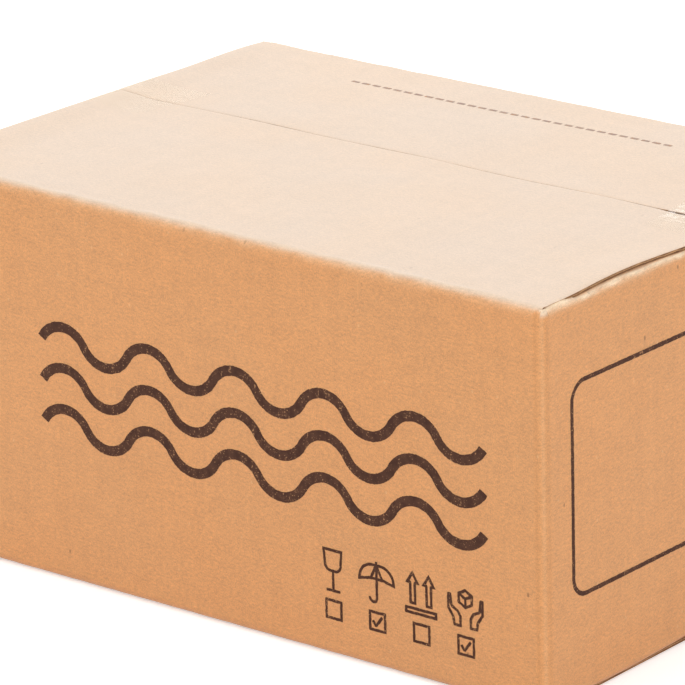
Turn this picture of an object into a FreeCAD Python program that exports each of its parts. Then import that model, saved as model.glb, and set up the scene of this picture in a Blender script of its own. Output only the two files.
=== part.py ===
import FreeCAD, Part
import math
import os

# A closed and taped shipping carton, folded from one sheet of corrugated board.
# Millimetres, +Z up. +X is the end wall with the printed frame, -Y the wall with the large print.
# The origin is the middle of the underside.

# Outside of the folded carton
carton_length = 200.0
carton_width = 142.5
carton_height = 104.0

# Board and folds
board = 3.0
fold_radius = 2.8

# Flaps. The outer pair is on the long walls, the inner pair on the end walls.
seam_offset = 8.5
seam_gap = 0.6
layer_gap = 0.3
outer_flap_setback = 1.0
inner_flap_setback = 4.5
inner_flap_length = 68.0
slot_depth = 4.0

# How far the closed top has sunk at its two back corners
sink_back_left = 4.1
sink_back_right = 1.6

# Glued joint at the back left corner
tab_width = 32.0
tab_bevel = 8.0
tab_clearance = 1.0
joint_gap = 0.5

# Clear tape
tape_width = 25.0
tape_thickness = 0.1
top_tape_reach = 21.0
tear_slant = 4.0
tooth_pitch = 2.5
tooth_depth = 0.6
tape_to_frame = 2.0

# Ink
ink = 0.06

# Large print on the front wall: wavy strokes
wave_strokes = 3
wave_stroke_width = 2.6
wave_spacing = 11.0
half_wave = 14.0
half_waves = 10
wave_height = 4.0
wave_right_margin = 18.0
wave_middle_z = 54.0

# Handling figures on the front wall, each over a tick box
mark_pitch = 13.7
mark_right_margin = 24.1
mark_foot_z = 17.3
mark_height = 11.3
mark_line = 0.6
tick_box = 5.3
tick_box_foot_z = 9.9

# Rounded frame on the right end wall
frame_side_margin = 11.1
frame_top_margin = 21.5
frame_foot_z = 26.4
frame_line = 1.0
frame_corner = 5.5

# Row of dashes on the back top flap
dash_length = 2.2
dash_width = 0.8
dash_pitch = 3.5
dash_count = 30
dash_row_margin = 19.0
dash_row_shift = -3.5

half_length = carton_length / 2
half_width = carton_width / 2
base = tape_thickness
crown = base + carton_height
joint_x = -half_length + board
joint_y = half_width - fold_radius - joint_gap
inner_level = board + layer_gap

# The handling figures are drawn 11.3 units high
mark_unit = mark_height / 11.3


def vector(x, y, z):
    return FreeCAD.Vector(x, y, z)


def outline(corners):
    """Closed wire through corners, each a point and the radius of its rounding."""
    count = len(corners)
    starts = []
    finishes = []
    edges = []
    for i, (point, radius) in enumerate(corners):
        back = (corners[i - 1][0] - point).normalize()
        ahead = (corners[(i + 1) % count][0] - point).normalize()
        half_angle = back.getAngle(ahead) / 2
        reach = radius / math.tan(half_angle)
        starts.append(point + back * reach)
        finishes.append(point + ahead * reach)
        if radius > 0:
            inward = (back + ahead).normalize()
            middle = point + inward * (radius / math.sin(half_angle) - radius)
            edges.append(Part.Arc(starts[-1], middle, finishes[-1]).toShape())
    for i in range(count):
        edges.append(Part.LineSegment(finishes[i], starts[(i + 1) % count]).toShape())
    return Part.Wire(Part.__sortEdges__(edges))


def prism(corners, direction):
    return Part.Face(outline(corners)).extrude(direction)


def block(x0, x1, y0, y1, z0, z1):
    return Part.makeBox(x1 - x0, y1 - y0, z1 - z0, vector(x0, y0, z0))


def walls_outside(z0, z1):
    """The carton's outside in plan. The left wall ends short of the fold that its glued tab comes from."""
    corners = [
        (vector(-half_length, -half_width, z0), fold_radius),
        (vector(half_length, -half_width, z0), fold_radius),
        (vector(half_length, half_width, z0), fold_radius),
        (vector(joint_x, half_width, z0), fold_radius),
        (vector(joint_x, joint_y, z0), 0),
        (vector(-half_length, joint_y, z0), 0),
    ]
    return prism(corners, vector(0, 0, z1 - z0))


def sink(x, y):
    """How far the top has sunk here. It keeps its height along the front wall."""
    along = (x + half_length) / carton_length
    back = (y + half_width) / carton_width
    return back * (sink_back_left + (sink_back_right - sink_back_left) * along)


def folded_profile(wall, tip, low, high):
    """A wall with its bottom and top flap, as (across, height, radius) corners.

    high(across) is the height of the outside of the top flap there.
    """
    inside = wall - math.copysign(board, wall)
    return [
        (tip, low, 0),
        (wall, low, fold_radius),
        (wall, high(wall), fold_radius),
        (tip, high(tip), 0),
        (tip, high(tip) - board, 0),
        (inside, high(inside) - board, 0),
        (inside, low + board, 0),
        (tip, low + board, 0),
    ]


def between(sections):
    """Solid with straight lines from one closed section to the next."""
    return Part.makeLoft(sections, True, True)


def long_panel(wall, tip, x0, x1):
    def section(x):
        profile = folded_profile(wall, tip, base, lambda y: crown - sink(x, y))
        return outline([(vector(x, y, z), r) for y, z, r in profile])

    return between([section(x0), section(x1)])


def end_panel(wall, tip):
    end_y = half_width - inner_flap_setback

    def section(y):
        profile = folded_profile(wall, tip, base + inner_level, lambda x: crown - inner_level - sink(x, y))
        return outline([(vector(x, y, z), r) for x, z, r in profile])

    return between([section(-end_y), section(end_y)])


def glued_tab():
    """Tab folded from the back wall and glued to the inside of the left wall, with bevelled ends."""
    y_fold = half_width - board
    y_free = y_fold - tab_width
    low = base + inner_level + board + tab_clearance
    high = crown - inner_level - board - tab_clearance - sink(-half_length, half_width)
    corners = [
        (vector(joint_x, y_fold, low), 0),
        (vector(joint_x, y_fold, high), 0),
        (vector(joint_x, y_free, high - tab_bevel), 0),
        (vector(joint_x, y_free, low + tab_bevel), 0),
    ]
    return prism(corners, vector(board, 0, 0))


def corner_posts(low):
    """The upright corners from a level up to their slots."""
    end_y = half_width - inner_flap_setback
    posts = []
    for end in (-1, 1):
        for side in (-1, 1):
            corner_x = end * half_length
            corner_y = side * half_width
            high = crown - slot_depth - sink(corner_x, corner_y)
            if high > low:
                around = sorted([corner_x, corner_x - end * 2 * board])
                across = sorted([corner_y, side * end_y])
                posts.append(walls_outside(low, high).common(block(*around, *across, low, high)))
    return posts


def carton():
    low = base + slot_depth
    high = crown - slot_depth - max(sink(-half_length, half_width), sink(half_length, half_width))
    inside_x = half_length - board
    inside_y = half_width - board
    end_y = half_width - inner_flap_setback
    inside = block(-inside_x, inside_x, -inside_y, inside_y, low, crown)
    end_walls = block(-half_length, half_length, -end_y, end_y, low, high)
    walls = walls_outside(low, high).cut([inside, end_walls])
    posts = [post.cut(inside) for post in corner_posts(high)]
    flap_end = half_length - outer_flap_setback
    front = long_panel(-half_width, seam_offset - seam_gap / 2, -flap_end, flap_end)
    back = long_panel(half_width, seam_offset + seam_gap / 2, joint_x, flap_end)
    right = end_panel(half_length, half_length - inner_flap_length)
    left = end_panel(-half_length, -half_length + inner_flap_length)
    sheet = walls.fuse(posts + [front, back, right, left, glued_tab()])
    return sheet.common(walls_outside(base, crown)).removeSplitter()


def wrapped_path(side, y, growth, drop, start_x, end_z):
    """Line that tape follows round the carton's end at y, grown outwards.

    It runs from start_x along the outer flap, off its cut end to the fold of the inner flap, and down
    the end wall to end_z. drop(x) is how far the flap has sunk.
    """
    flap_x = half_length - outer_flap_setback
    flap_z = crown - drop(side * flap_x)
    centre_x = half_length - fold_radius
    slope = (drop(side * half_length) - drop(0)) / half_length
    centre_z = crown - inner_level - drop(side * centre_x) - fold_radius * math.hypot(1, slope)
    rise = flap_z - centre_z
    run = flap_x - centre_x
    lean = math.atan2(rise, run) - math.acos(fold_radius / math.hypot(rise, run))
    radius = fold_radius + growth
    start_z = crown - drop(side * start_x) + growth

    def at(x, z):
        return vector(side * x, y, z)

    def round_fold(angle):
        return at(centre_x + radius * math.cos(angle), centre_z + radius * math.sin(angle))

    def round_flap_end(angle):
        return at(flap_x + growth * math.cos(angle), flap_z + growth * math.sin(angle))

    edges = [Part.LineSegment(at(start_x, start_z), at(flap_x, flap_z + growth)).toShape()]
    if growth > 0:
        over_end = [round_flap_end(a) for a in (math.pi / 2, (math.pi / 2 + lean) / 2, lean)]
        edges.append(Part.Arc(*over_end).toShape())
    edges.append(Part.LineSegment(round_flap_end(lean), round_fold(lean)).toShape())
    edges.append(Part.Arc(round_fold(lean), round_fold(lean / 2), round_fold(0)).toShape())
    edges.append(Part.LineSegment(round_fold(0), at(half_length + growth, end_z)).toShape())
    return edges


def tape_section(side, y, drop, start_x, end_z):
    """Closed outline of the tape's path, at y."""
    far = wrapped_path(side, y, tape_thickness, drop, start_x, end_z)
    near = wrapped_path(side, y, 0, drop, start_x, end_z)
    far_points = Part.Wire(Part.__sortEdges__(far)).OrderedVertexes
    near_points = Part.Wire(Part.__sortEdges__(near)).OrderedVertexes
    caps = [Part.LineSegment(far_points[k].Point, near_points[k].Point).toShape() for k in (0, -1)]
    return Part.Wire(Part.__sortEdges__(far + near + caps))


def torn_edge(slant):
    """(distance, across) points of a strip's end as a dispenser's teeth leave it."""
    teeth = max(2, round(tape_width / tooth_pitch))
    step = tape_width / teeth
    points = []
    for i in range(teeth + 1):
        across = -tape_width / 2 + i * step
        lean = slant * (0.5 - i / teeth)
        points.append((lean, across))
        if i < teeth:
            points.append((lean - slant / teeth / 2 + tooth_depth, across + step / 2))
    return points


def top_tape(side):
    """Strip on the top seam's end. Its inner end is torn at a slant, its other end hangs down the wall."""
    start = half_length - top_tape_reach
    first = start - tear_slant / 2
    far = half_length + tape_thickness
    end_z = crown - frame_top_margin + tape_to_frame
    sections = []
    for y in (seam_offset - tape_width / 2, seam_offset + tape_width / 2):
        sections.append(tape_section(side, y, lambda x: sink(x, y), first, end_z))
    plan = [(vector(side * (start + d), seam_offset + y, end_z), 0) for d, y in torn_edge(tear_slant)]
    plan.append((vector(side * far, seam_offset + tape_width / 2, end_z), 0))
    plan.append((vector(side * far, seam_offset - tape_width / 2, end_z), 0))
    return between(sections).common(prism(plan, vector(0, 0, frame_top_margin)))


def bottom_tape():
    """Strip along the whole bottom seam, up to under the printed frame on each end wall."""
    far = half_length + tape_thickness
    end_z = frame_foot_z - tape_to_frame
    y = seam_offset - tape_width / 2
    middle = vector(0, 0, (base + crown) / 2)
    halves = []
    for side in (1, -1):
        section = tape_section(side, y, lambda x: 0, 0, middle.z)
        halves.append(Part.Face(section).extrude(vector(0, tape_width, 0)))
    strip = halves[0].fuse(halves[1]).mirror(middle, vector(0, 0, 1))
    wall = [(vector(-far, seam_offset + y, end_z - d), 0) for d, y in torn_edge(0)]
    wall.append((vector(-far, seam_offset + tape_width / 2, 0), 0))
    wall.append((vector(-far, seam_offset - tape_width / 2, 0), 0))
    return strip.common(prism(wall, vector(2 * far, 0, 0))).removeSplitter()


def front_point(x, z):
    return vector(x, -half_width, z)


def front_ink(face):
    return face.extrude(vector(0, -ink, 0))


def wave(left, middle_z):
    """One wavy stroke of half waves, each an arc, with square ends."""
    chord = half_wave / 2
    radius = (chord**2 + wave_height**2) / (2 * wave_height)
    reach = math.asin(chord / radius)
    drop = radius - wave_height

    def side_edges(offset):
        edges = []
        for i in range(half_waves):
            up = 1 if i % 2 == 0 else -1
            centre = left + (i + 0.5) * half_wave
            r = radius + up * offset
            points = [
                front_point(centre + r * math.sin(a), middle_z + up * (r * math.cos(a) - drop))
                for a in (-reach, 0, reach)
            ]
            edges.append(Part.Arc(*points).toShape())
        return edges

    upper = side_edges(wave_stroke_width / 2)
    lower = side_edges(-wave_stroke_width / 2)
    ends = [
        Part.LineSegment(upper[0].firstVertex().Point, lower[0].firstVertex().Point).toShape(),
        Part.LineSegment(upper[-1].lastVertex().Point, lower[-1].lastVertex().Point).toShape(),
    ]
    return front_ink(Part.Face(Part.Wire(Part.__sortEdges__(upper + lower + ends))))


def front_print():
    left = half_length - wave_right_margin - half_waves * half_wave
    middle = (wave_strokes - 1) / 2
    levels = [wave_middle_z + (i - middle) * wave_spacing for i in range(wave_strokes)]
    return Part.Compound([wave(left, z) for z in levels])


class InkFigure:
    """Ink lines on the front wall, drawn from a foot point at so many millimetres to the drawing's unit."""

    def __init__(self, centre, foot, unit):
        self.centre = centre
        self.foot = foot
        self.unit = unit

    def at(self, u, v):
        return front_point(self.centre + u * self.unit, self.foot + v * self.unit)

    def bar(self, p, q):
        """Straight line from p to q, with square ends."""
        start = self.at(*p)
        finish = self.at(*q)
        along = (finish - start).normalize()
        aside = vector(-along.z, 0, along.x) * (mark_line / 2)
        corners = [start + aside, finish + aside, finish - aside, start - aside]
        return front_ink(Part.Face(outline([(c, 0) for c in corners])))

    def ring(self, corners):
        """Line inside a closed outline of (across, up, radius) corners."""
        face = Part.Face(outline([(self.at(u, v), r * self.unit) for u, v, r in corners]))
        return front_ink(face.cut(face.makeOffset2D(-mark_line)))

    def arc(self, centre, radius, start, finish):
        """Line along an arc, from one angle to another, in degrees."""
        angles = [math.radians(a) for a in (start, (start + finish) / 2, finish)]
        half_line = mark_line / 2 / self.unit
        edges = []
        for r in (radius - half_line, radius + half_line):
            points = [self.at(centre[0] + r * math.cos(a), centre[1] + r * math.sin(a)) for a in angles]
            edges.append(Part.Arc(*points).toShape())
        near, far = edges
        edges.append(Part.LineSegment(near.firstVertex().Point, far.firstVertex().Point).toShape())
        edges.append(Part.LineSegment(near.lastVertex().Point, far.lastVertex().Point).toShape())
        return front_ink(Part.Face(Part.Wire(Part.__sortEdges__(edges))))


def glass_figure(figure):
    bowl = [(-3.1, 11.3, 0), (3.1, 11.3, 0), (2.6, 5.2, 2.0), (-2.6, 5.2, 2.0)]
    return [figure.ring(bowl), figure.bar((0, 5.4), (0, 0.4)), figure.bar((-2.1, 0.3), (2.1, 0.3))]


def umbrella_figure(figure):
    brim = [(5.7, 5.4, 0), (1.9, 6.2, 0), (-1.9, 6.2, 0), (-5.7, 5.4, 0)]
    canopy = [(-5.2, 10.4, 4.4), (5.2, 10.4, 4.4)] + brim
    top = (0, 10.2)
    hook_x, hook_z = -1.1, 1.4
    pieces = [figure.ring(canopy), figure.bar((0, 11.0), (0, hook_z))]
    pieces.append(figure.bar(top, (-1.9, 6.2)))
    pieces.append(figure.bar(top, (1.9, 6.2)))
    pieces.append(figure.arc((hook_x, hook_z), -hook_x, 180, 360))
    return pieces


def arrows_figure(figure):
    arrow = [(0, 11.3), (2.1, 8.0), (1.0, 8.0), (1.0, 2.6), (-1.0, 2.6), (-1.0, 8.0), (-2.1, 8.0)]
    pieces = [figure.ring([(u + middle, v, 0) for u, v in arrow]) for middle in (-2.5, 2.5)]
    pieces.append(figure.ring([(-4.9, 0, 0), (4.9, 0, 0), (4.9, 1.8, 0), (-4.9, 1.8, 0)]))
    return pieces


def hands_figure(figure):
    hub = (0, 7.6)
    cube = [(0, 5.0), (2.3, 6.3), (2.3, 8.9), (0, 10.2), (-2.3, 8.9), (-2.3, 6.3)]
    pieces = [figure.ring([(u, v, 0) for u, v in cube])]
    for corner in ((0, 5.2), (2.1, 8.8), (-2.1, 8.8)):
        pieces.append(figure.bar(hub, corner))
    palm = [(1.3, 0), (3.7, 0), (4.0, 2.0), (5.5, 4.2)]
    fingers = [(5.5, 8.3), (4.4, 8.3), (4.0, 5.2), (2.2, 4.3), (1.3, 2.8)]
    for side in (1, -1):
        pieces.append(figure.ring([(side * u, v, 0.2) for u, v in palm + fingers]))
    return pieces


def tick_box_figure(figure, ticked):
    pieces = [figure.ring([(-0.5, 0, 0), (0.5, 0, 0), (0.5, 1, 0), (-0.5, 1, 0)])]
    if ticked:
        pieces.append(figure.bar((-0.27, 0.5), (-0.1, 0.25)))
        pieces.append(figure.bar((-0.1, 0.25), (0.27, 0.75)))
    return pieces


def handling_marks():
    figures = [(hands_figure, True), (arrows_figure, False), (umbrella_figure, True), (glass_figure, False)]
    pieces = []
    for i, (draw, ticked) in enumerate(figures):
        centre = half_length - mark_right_margin - i * mark_pitch
        pieces += draw(InkFigure(centre, base + mark_foot_z, mark_unit))
        pieces += tick_box_figure(InkFigure(centre, base + tick_box_foot_z, tick_box), ticked)
    marks = pieces[0].fuse(pieces[1:]).removeSplitter()
    return Part.Compound(marks.Solids)


def end_frame():
    half = half_width - frame_side_margin
    low = base + frame_foot_z
    high = crown - frame_top_margin

    def rounded(inset):
        y = half - inset
        radius = frame_corner - inset
        corners = [(-y, low + inset), (y, low + inset), (y, high - inset), (-y, high - inset)]
        return Part.Face(outline([(vector(half_length, u, z), radius) for u, z in corners]))

    return rounded(0).cut(rounded(frame_line)).extrude(vector(ink, 0, 0))


def top_print():
    y0 = half_width - dash_row_margin - dash_width / 2
    y1 = y0 + dash_width
    x0 = dash_row_shift - ((dash_count - 1) * dash_pitch + dash_length) / 2

    def section(x):
        low = [vector(x, y, crown - sink(x, y)) for y in (y0, y1)]
        high = [vector(x, y, crown - sink(x, y) + ink) for y in (y1, y0)]
        return outline([(p, 0) for p in low + high])

    starts = [x0 + i * dash_pitch for i in range(dash_count)]
    return Part.Compound([between([section(x), section(x + dash_length)]) for x in starts])


parts = {
    "carton": carton(),
    "top_tape_right": top_tape(1),
    "top_tape_left": top_tape(-1),
    "bottom_tape": bottom_tape(),
    "front_print": front_print(),
    "handling_marks": handling_marks(),
    "end_frame": end_frame(),
    "top_print": top_print(),
}

os.makedirs("parts", exist_ok=True)
for name, shape in parts.items():
    shape.exportStep("parts/" + name + ".step")
    box = shape.BoundBox
    print(name, len(shape.Solids), shape.isValid(), round(shape.Volume, 2), box)
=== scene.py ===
import math

import bpy
import numpy as np
from mathutils import Matrix, Vector
from mathutils.geometry import delaunay_2d_cdt


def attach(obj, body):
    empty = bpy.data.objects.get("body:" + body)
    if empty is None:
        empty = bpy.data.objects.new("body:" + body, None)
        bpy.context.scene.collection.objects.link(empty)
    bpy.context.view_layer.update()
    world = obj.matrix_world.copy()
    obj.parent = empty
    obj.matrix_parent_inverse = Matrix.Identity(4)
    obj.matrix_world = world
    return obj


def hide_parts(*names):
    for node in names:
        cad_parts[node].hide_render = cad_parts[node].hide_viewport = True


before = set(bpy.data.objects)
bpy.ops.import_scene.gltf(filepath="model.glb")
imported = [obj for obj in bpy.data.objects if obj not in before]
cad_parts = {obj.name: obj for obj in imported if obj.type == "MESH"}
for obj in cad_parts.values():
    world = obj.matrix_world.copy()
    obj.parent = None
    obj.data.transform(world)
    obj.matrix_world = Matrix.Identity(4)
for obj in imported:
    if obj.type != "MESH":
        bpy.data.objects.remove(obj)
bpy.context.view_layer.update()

# Lengths are in millimetres until a mesh is made.
# The closed carton
LENGTH, WIDTH, HEIGHT = 200.0, 142.5, 104.0
BOARD = 3.0
FOLD = 2.8
BASE = 0.1
CROWN = BASE + HEIGHT
FOOT, SHOULDER = BASE + FOLD, CROWN - FOLD
MIDDLE = (BASE + CROWN) / 2
SEAM = 8.5
FLAP_END = 99.0

# Height that the upright corners reach between the flaps
CORNER_TOP = 103.6

# Inner flaps: the crushed fold on each end wall stands up beside the outer flap's end.
INNER_LEVEL = CROWN - BOARD - 0.3
INNER_REACH = 68.0
END_FOLD = 1.8
CRUSHED = 1.2

# How far the top has sunk at its back corners
SINK_LEFT, SINK_RIGHT = 4.1, 1.6

# How far the outer flaps' ends are bowed up, across the carton from front to back
BOW_AT = [-71.25, -62.0, -54.0, -48.0, -40.0, -31.0, -22.0, -13.0, -4.0, 8.0, 21.0, 34.0, 48.0, 60.0, 71.25]
BOW_RIGHT = [0.0, 0.0, 0.35, 0.68, 0.86, 0.82, 0.52, 0.0, -0.25, -0.3, -0.2, 0.25, 0.55, 0.3, 0.0]
BOW_LEFT = [0.0, 0.35, 0.6, 0.66, 0.66, 0.67, 0.68, 0.68, 0.62, 0.65, 0.62, 0.6, 0.7, 0.66, 0.3]

# Tab of the glued joint at the back left corner
TAB_WIDTH = 32.0
TAB_BEVEL = 8.0
TAB_FOOT = 7.4

# Tape
TAPE_WIDTH = 25.0
TAPE_LIFT = 0.07
FILM = 0.05
TOP_TAPE_START = 79.0
TOP_TAPE_FOOT = 84.6
BOTTOM_TAPE_HEAD = 24.4

# Ink: how far its face stands above the board and its rim reaches under it
INK_LIFT = 0.05
INK_DEPTH = 0.04

# Pitch of the board's flutes, in metres
FLUTE_PITCH = 0.0064


def ease(x):
    x = np.clip(x, 0.0, 1.0)
    return x * x * (3 - 2 * x)


def ramp(x, start, end):
    return ease((x - start) / (end - start))


def bump(x, centre, width):
    return np.exp(-(((x - centre) / width) ** 2))


def waviness(x, y, size, seed, octaves=3):
    """Smooth unevenness of about -1 to 1, with features of that size and smaller."""
    rng = np.random.default_rng(seed)
    total = np.zeros(np.broadcast(x, y).shape)
    for octave in range(octaves):
        for _ in range(6):
            turn, start = rng.uniform(0, 2 * math.pi, 2)
            pitch = 2 * math.pi / size * 2**octave * rng.uniform(0.7, 1.4)
            wave = np.sin((x * math.cos(turn) + y * math.sin(turn)) * pitch + start)
            total = total + wave * 0.32 * 0.6**octave
    return total


def settle(p):
    """The carton's top sinks a little towards the back, and most at the back left corner."""
    across = (p[..., 0] + LENGTH / 2) / LENGTH
    back = (p[..., 1] + WIDTH / 2) / WIDTH
    sink = back * (SINK_LEFT * (1 - across) + SINK_RIGHT * across)
    q = np.array(p, float)
    q[..., 2] *= 1 - sink / CROWN
    return q


def bow(x, y):
    """Height that the outer flap's end is bowed by, on the top."""
    right = np.interp(y, BOW_AT, BOW_RIGHT)
    left = np.interp(y, BOW_AT, BOW_LEFT)
    return right * ramp(x, 84, 98) + left * ramp(-x, 86, 98)


def top_lift(x, y):
    inward = ramp(WIDTH / 2 - np.abs(y), 1, 14)
    return bow(x, y) + 0.12 * waviness(x, y, 75, 11, 2) * inward


def seam_gap(x):
    """The flaps' edges nearly touch, and stand a little apart at the ends."""
    return 0.14 + 0.05 * waviness(x, 0, 24, 5) + 1.0 * ramp(x, 75, 81)


def stations(a, b, step):
    """Places from a to b, closer together near both ends."""
    near, gap = [0.0], 0.35
    while gap < step and near[-1] + gap < 0.4 * (b - a):
        near.append(near[-1] + gap)
        gap *= 1.4
    middle = b - a - 2 * near[-1]
    count = max(1, math.ceil(middle / step))
    inner = [near[-1] + middle * k / count for k in range(1, count)]
    return np.array([a + x for x in near + inner] + [b - x for x in reversed(near)])


class Panel:
    """One wall of the carton. s runs along it, seen from outside from left to right."""

    def __init__(self, along, outward, distance, straight, start, bulge, seed):
        self.along = np.array([*along, 0.0])
        self.outward = np.array([*outward, 0.0])
        self.distance = distance
        self.straight = straight
        self.start = start
        self.bulge = bulge
        self.seed = seed

    def place(self, s, d, z, nd, nz):
        """Point at s along the wall, d in from its outside, and the outward normal there."""
        s, d, z, nd, nz = np.broadcast_arrays(s, d, z, nd, nz)
        turn = np.clip((np.abs(s) - self.straight) / FOLD, 0, 1) * np.sign(s)
        level = np.sqrt(np.clip(1 - turn**2, 0, 1))
        sag = FOLD * (1 - level) * np.clip(1 - d / FOLD, 0, 1)
        point = s[..., None] * self.along + (self.distance - d - sag)[..., None] * self.outward
        point = point + z[..., None] * np.array([0, 0, 1.0])
        normal = (nd * turn)[..., None] * self.along + (nd * level)[..., None] * self.outward
        normal = normal + nz[..., None] * np.array([0, 0, 1.0])
        normal /= np.maximum(np.linalg.norm(normal, axis=-1, keepdims=True), 1e-9)
        return point, normal

    def swell(self, s, z):
        """How far the wall is pushed out of flat."""
        across = np.cos(np.clip(s / self.straight, -1, 1) * math.pi / 2)
        up = np.sin(np.clip((z - FOOT) / (SHOULDER - FOOT), 0, 1) * math.pi)
        return across * up * (self.bulge + 0.1 * waviness(s, z, 60, self.seed, 2))

    def point(self, s, z, lift):
        """A point on the finished wall, a little above its surface."""
        p, n = self.place(s, 0 * s, z, 1 + 0 * s, 0 * s)
        return settle(p + n * (self.swell(s, z) + lift)[..., None])


FRONT = Panel((1, 0), (0, -1), WIDTH / 2, 97.2, 0.0, 0.25, 21)
RIGHT = Panel((0, 1), (1, 0), LENGTH / 2, 68.45, 171.5, 0.3, 22)
BACK = Panel((-1, 0), (0, 1), WIDTH / 2, 97.2, 343.0, 0.35, 23)
LEFT = Panel((0, -1), (-1, 0), LENGTH / 2, 68.45, 514.5, 0.3, 24)
TAB = Panel((0, -1), (-1, 0), LENGTH / 2 - BOARD, 68.45, 514.5, 0.0, 25)

WALL_Z = stations(FOOT, SHOULDER, 4.0)
HALF_ARC = FOLD * math.pi / 4


class Profile:
    """Rows of a panel from its bottom flap's edge, up the wall, to its top flap's edge."""

    def __init__(self, fold, reach, low_step, high_step):
        angles = np.radians(np.linspace(0, 90, 10)[1:])
        arc_d = fold * (1 - np.cos(angles))
        rows = []
        for side, step in ((-1, low_step), (1, high_step)):
            flap_d = stations(fold, reach, step)[1:]
            d = np.concatenate([arc_d, flap_d])
            rise = np.concatenate([np.sin(angles), np.ones(len(flap_d))])
            fall = np.clip((d - fold) / (12 - fold), 0, 1)
            fall[: len(arc_d)] = 0
            nd = np.concatenate([np.cos(angles), np.zeros(len(flap_d))])
            nz = side * rise
            away = np.concatenate([FOLD * angles - HALF_ARC, HALF_ARC + flap_d - fold])
            # Painted top light: the top flaps, from partway round the fold, get the lighter colour of the
            # brightly lit top.
            pale = np.concatenate([ease((angles - 0.52) / 0.8), np.ones(len(flap_d))]) * (side > 0)
            start = SHOULDER if side > 0 else FOOT
            z = np.full(len(d), start)
            v = away + HALF_ARC
            block = [d, z, side * rise, side * fall, nd, nz, away, pale, start + side * v]
            rows.append(np.array(block))
        wall = np.zeros((9, len(WALL_Z)))
        wall[1] = WALL_Z
        wall[4] = 1
        wall[6] = -HALF_ARC - np.minimum(SHOULDER - WALL_Z, WALL_Z - FOOT)
        wall[8] = WALL_Z
        rows = np.concatenate([rows[0][:, ::-1], wall, rows[1]], axis=1)
        self.d, self.z, self.rise, self.fall, self.nd, self.nz, self.away, self.pale, self.v = rows
        self.reach = reach
        self.upper = slice(np.nonzero(self.nz > 0)[0][0] - 1, None)
        self.lower = slice(0, np.nonzero(self.nz < 0)[0][-1] + 2)


class Sheet:
    """The folded board: patches of its outside, welded where they meet, then given thickness."""

    def __init__(self):
        self.parts = []
        self.quads = []
        self.count = 0

    def patch(self, flat, out, inside, uv, pale, painted_light_and_shade):
        rows, cols = flat.shape[:2]
        ids = self.count + np.arange(rows * cols).reshape(rows, cols)
        quads = np.stack([ids[:-1, :-1], ids[:-1, 1:], ids[1:, 1:], ids[1:, :-1]], -1)
        self.quads.append(quads.reshape(-1, 4))
        self.count += rows * cols
        data = np.concatenate([flat, out, inside, uv, pale[..., None], painted_light_and_shade[..., None]], -1)
        self.parts.append(data.reshape(rows * cols, -1))

    def weld(self):
        data = np.concatenate(self.parts)
        corner_uv = data[:, 9:11]
        quads = np.concatenate(self.quads)
        keys = np.floor(data[:, :3] * 100 + 0.371).astype(np.int64)
        _, first, back = np.unique(keys, axis=0, return_index=True, return_inverse=True)
        back = back.reshape(-1)
        data = data[first]
        return data[:, 3:6], data[:, 6:9], data[:, 11:13], back[quads], corner_uv[quads]


def fold_relief(away, along, seed, size):
    """Creases pressed along a fold, and the uneven crushed board between them."""
    relief = -0.07 * bump(away, -3.0, 0.9) - 0.05 * bump(away, 3.4, 1.1)
    uneven = 0.16 * waviness(along, away * 1.5, 16, seed) + 0.05 * waviness(along, away, 3.2, seed + 1, 2)
    return relief * (1 + 0.6 * waviness(along, 0, 21, seed + 2)) + size * uneven * bump(away, 0, 3.0)


def corner_relief(away):
    """The two scored lines at an upright corner, and the ridge between them."""
    return -0.11 * bump(away, -1.5, 0.5) - 0.08 * bump(away, 1.8, 0.55) + 0.03 * bump(away, 0, 0.8)


def corner_light_and_shade(away):
    """How much lighter the corner's ridge is painted, as a painted highlight, and how much darker its
    scored lines, as painted shade.
    """
    return 0.1 * bump(away, 0.3, 0.5) - 0.4 * bump(away, -1.5, 0.5) - 0.25 * bump(away, 1.8, 0.55)


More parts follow.
